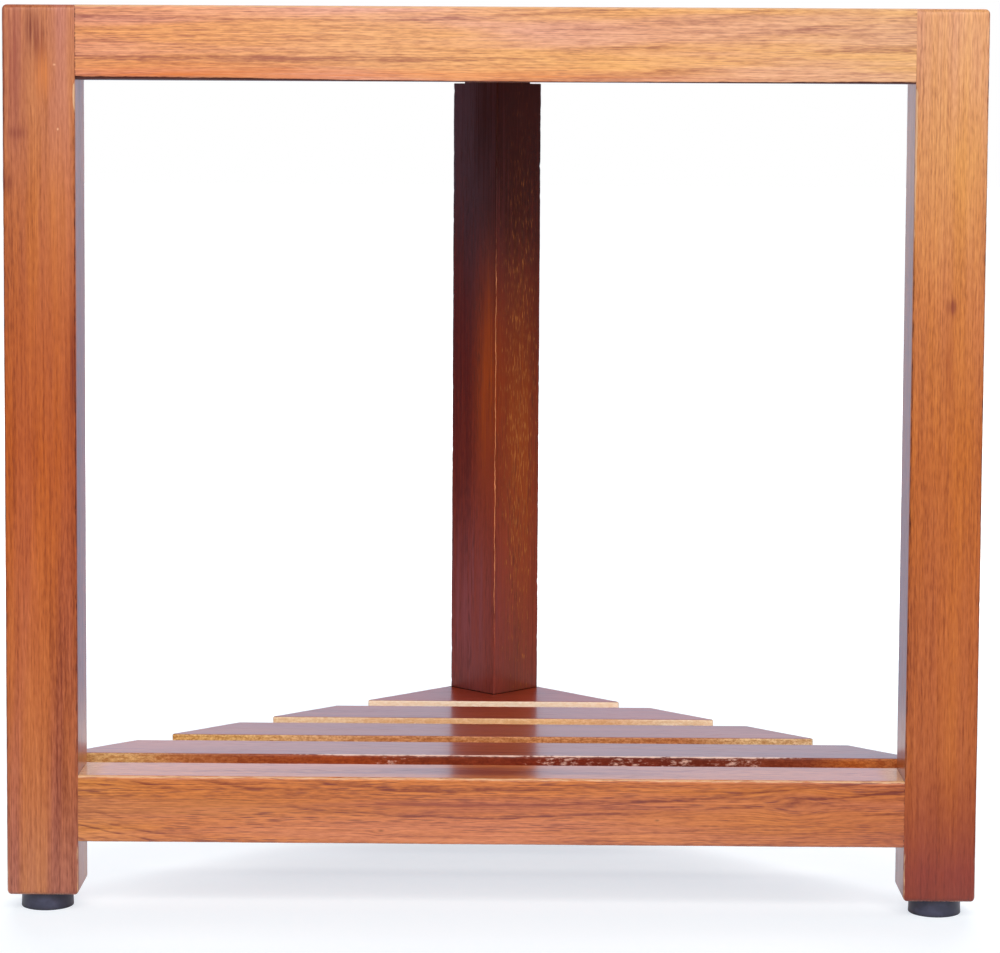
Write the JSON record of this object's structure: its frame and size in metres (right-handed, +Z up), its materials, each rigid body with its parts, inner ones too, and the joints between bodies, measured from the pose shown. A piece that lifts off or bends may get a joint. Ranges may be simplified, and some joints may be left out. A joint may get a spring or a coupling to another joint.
{
  "type": "corner shower stool",
  "caption": "Corner shower stool in oiled hardwood: triangular slatted seat over a slatted shelf, square legs, the rear one turned to fit the corner, and screw-in feet.",
  "frame": {"origin": "on the floor, under the middle of the stool's footprint", "axes": "+Z up, +X to the right seen from the front, -Y towards the front, +Y towards the room's corner"},
  "size_m": [0.46, 0.2634, 0.4305],
  "materials": {
    "teak_frame": "clear satin oil over reddish-brown teak, long straight grain",
    "teak_slat": "clear satin oil on top, drier and paler on the sawn front edges",
    "dowel_wood": "plain turned wood, glued",
    "stainless": "plain stainless",
    "brass": "plain brass",
    "foot_rubber": "black moulded hard rubber, soft sheen"
  },
  "bodies": {
    "stool": {"front_left_leg": "teak_frame", "front_right_leg": "teak_frame", "back_leg": "teak_frame", "seat_front_rail": "teak_frame", "shelf_front_rail": "teak_frame", "seat_left_batten": "teak_frame", "seat_right_batten": "teak_frame", "shelf_left_batten": "teak_frame", "shelf_right_batten": "teak_frame", "seat_slat_1": "teak_slat", "seat_slat_2": "teak_slat", "seat_slat_3": "teak_slat", "seat_corner_slat": "teak_slat", "shelf_slat_1": "teak_slat", "shelf_slat_2": "teak_slat", "shelf_slat_3": "teak_slat", "shelf_corner_slat": "teak_slat", "seat_rail_dowels": "dowel_wood", "shelf_rail_dowels": "dowel_wood", "batten_dowels": "dowel_wood", "back_leg_plugs": "dowel_wood", "seat_slat_screws": "stainless", "shelf_slat_screws": "stainless", "seat_lap_screws": "stainless", "shelf_batten_screws": "stainless", "front_left_foot_insert": "brass", "front_right_foot_insert": "brass", "back_foot_insert": "brass"},
    "front_left_stud": {"front_left_foot_stud": "stainless"},
    "front_left_pad": {"front_left_foot_pad": "foot_rubber"},
    "front_right_stud": {"front_right_foot_stud": "stainless"},
    "front_right_pad": {"front_right_foot_pad": "foot_rubber"},
    "back_stud": {"back_foot_stud": "stainless"},
    "back_pad": {"back_foot_pad": "foot_rubber"}
  },
  "joints": [
    {"name": "front_left_lift", "type": "slide", "parent": "stool", "child": "front_left_stud", "axis": [0, 0, -1], "range_m": [0, 0.01]},
    {"name": "front_left_turn", "type": "hinge", "parent": "front_left_stud", "child": "front_left_pad", "pos_m": [-0.213, -0.11469, 0], "axis": [0, 0, -1], "range_deg": [0, 2880]},
    {"name": "front_right_lift", "type": "slide", "parent": "stool", "child": "front_right_stud", "axis": [0, 0, -1], "range_m": [0, 0.01]},
    {"name": "front_right_turn", "type": "hinge", "parent": "front_right_stud", "child": "front_right_pad", "pos_m": [0.213, -0.11469, 0], "axis": [0, 0, -1], "range_deg": [0, 2880]},
    {"name": "back_lift", "type": "slide", "parent": "stool", "child": "back_stud", "axis": [0, 0, -1], "range_m": [0, 0.01]},
    {"name": "back_turn", "type": "hinge", "parent": "back_stud", "child": "back_pad", "pos_m": [0, 0.10827, 0], "axis": [0, 0, -1], "range_deg": [0, 2880]}
  ],
  "couplings": [
    {"joint": "front_left_lift", "follows": "front_left_turn", "m_per_rad": 0.00019894},
    {"joint": "front_right_lift", "follows": "front_right_turn", "m_per_rad": 0.00019894},
    {"joint": "back_lift", "follows": "back_turn", "m_per_rad": 0.00019894}
  ]
}
